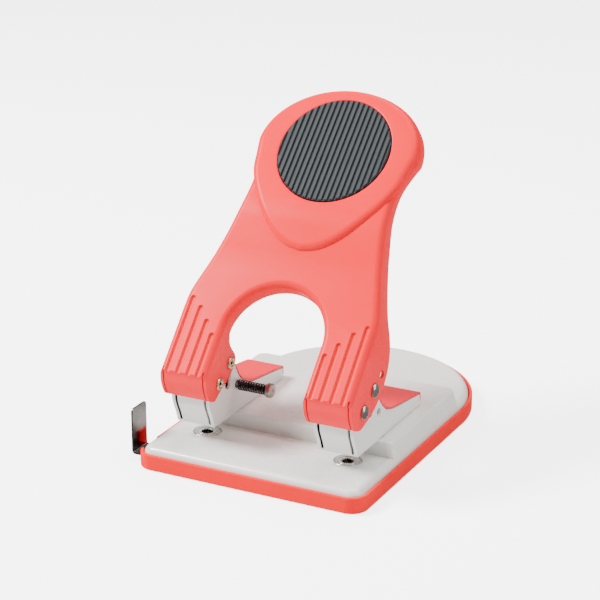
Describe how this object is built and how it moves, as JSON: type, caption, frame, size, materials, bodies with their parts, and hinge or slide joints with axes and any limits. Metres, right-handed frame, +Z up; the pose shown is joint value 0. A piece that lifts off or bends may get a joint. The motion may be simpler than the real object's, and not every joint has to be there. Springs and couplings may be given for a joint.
{
  "type": "hole punch",
  "caption": "Two-hole desk punch with a sheet-metal lever, a ribbed grip, sprung punches, a lock pin, a slide-out paper guide and a chip tray.",
  "frame": {"origin": "underside of the tray, on the centre plane and on the line through the two punches", "axes": "+Z up, +Y the way the paper slides in (front to rear), +X the user's right"},
  "size_m": [0.1328, 0.1891, 0.1729],
  "materials": {
    "red_plastic": "satin moulded",
    "red_paint": "satin enamel",
    "pale_paint": "gloss enamel",
    "steel": "bright",
    "dark_steel": "blackened",
    "brass": "plain",
    "chrome": "polished",
    "rubber": "matt, ribbed"
  },
  "bodies": {
    "tray": {"chip_tray": "red_plastic"},
    "punch_base": {"base_plate": "pale_paint", "guide_channel": "steel", "guide_leaf_spring": "dark_steel", "die_left": "steel", "die_right": "steel", "bracket_left": "pale_paint", "bracket_right": "pale_paint", "bracket_cover_left": "red_plastic", "bracket_cover_right": "red_plastic", "punch_guide_left": "brass", "punch_guide_right": "brass", "punch_spring_left": "steel", "punch_spring_right": "steel", "bracket_rivet_left_front": "steel", "bracket_rivet_left_rear": "steel", "bracket_rivet_right_front": "steel", "bracket_rivet_right_rear": "steel", "lock_spring": "dark_steel"},
    "lever": {"lever": "red_paint", "grip_pad": "rubber", "pivot_pin_left": "steel", "pivot_pin_right": "steel", "drive_pin_left": "steel", "drive_pin_right": "steel"},
    "punch_l": {"punch_left": "steel"},
    "punch_r": {"punch_right": "steel"},
    "guide": {"paper_guide": "chrome"},
    "lock": {"lock_pin": "steel", "lock_pin_clip": "dark_steel"}
  },
  "joints": [
    {"name": "tray_release", "type": "slide", "parent": "tray", "child": "punch_base", "axis": [0, 0, 1], "range_m": [0, 0.03]},
    {"name": "lever_hinge", "type": "hinge", "parent": "punch_base", "child": "lever", "pos_m": [0, -0.01, 0.0434], "axis": [-1, 0, 0], "range_deg": [0, 52], "stiffness_Nm_per_rad": 0.6, "springref_deg": -28.65},
    {"name": "punch_left_slide", "type": "slide", "parent": "punch_base", "child": "punch_l", "axis": [0, 0, -1], "range_m": [0, 0.0122], "deforming": ["punch_spring_left"]},
    {"name": "punch_right_slide", "type": "slide", "parent": "punch_base", "child": "punch_r", "axis": [0, 0, -1], "range_m": [0, 0.0122], "deforming": ["punch_spring_right"]},
    {"name": "guide_slide", "type": "slide", "parent": "punch_base", "child": "guide", "axis": [-1, 0, 0], "range_m": [0, 0.075]},
    {"name": "lock_slide", "type": "slide", "parent": "punch_base", "child": "lock", "axis": [-1, 0, 0], "range_m": [0, 0.006], "stiffness_N_per_m": 250, "springref_m": -0.004, "deforming": ["lock_spring"]}
  ],
  "couplings": [
    {"joint": "punch_left_slide", "follows": "lever_hinge", "m_per_rad": 0.01334},
    {"joint": "punch_right_slide", "follows": "lever_hinge", "m_per_rad": 0.01334}
  ]
}
